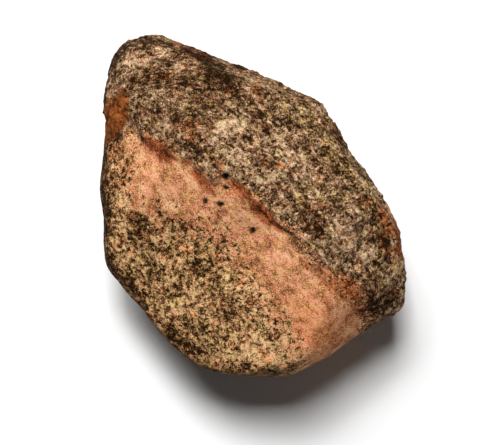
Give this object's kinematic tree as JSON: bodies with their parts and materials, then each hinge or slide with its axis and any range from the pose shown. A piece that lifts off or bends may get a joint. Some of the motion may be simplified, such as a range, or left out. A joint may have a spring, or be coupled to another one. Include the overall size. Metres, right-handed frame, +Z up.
{
  "type": "meteorite",
  "caption": "Angular, weathered stone specimen with a broken salmon-coloured face under a dark, chipped, coarse-grained weathered layer; lies on its flat underside.",
  "frame": {"origin": "on the resting surface, under the middle of the stone's bounding box", "axes": "+Z up, away from the resting surface; +Y from the blunt front end to the knob at the back; +X to the right, towards the sharp corner"},
  "size_m": [0.0824, 0.0928, 0.0485],
  "materials": {
    "stone": "rough, coarse-grained, matt with a slight glint"
  },
  "bodies": {
    "root": {"meteorite_stone": "stone"}
  },
  "joints": []
}
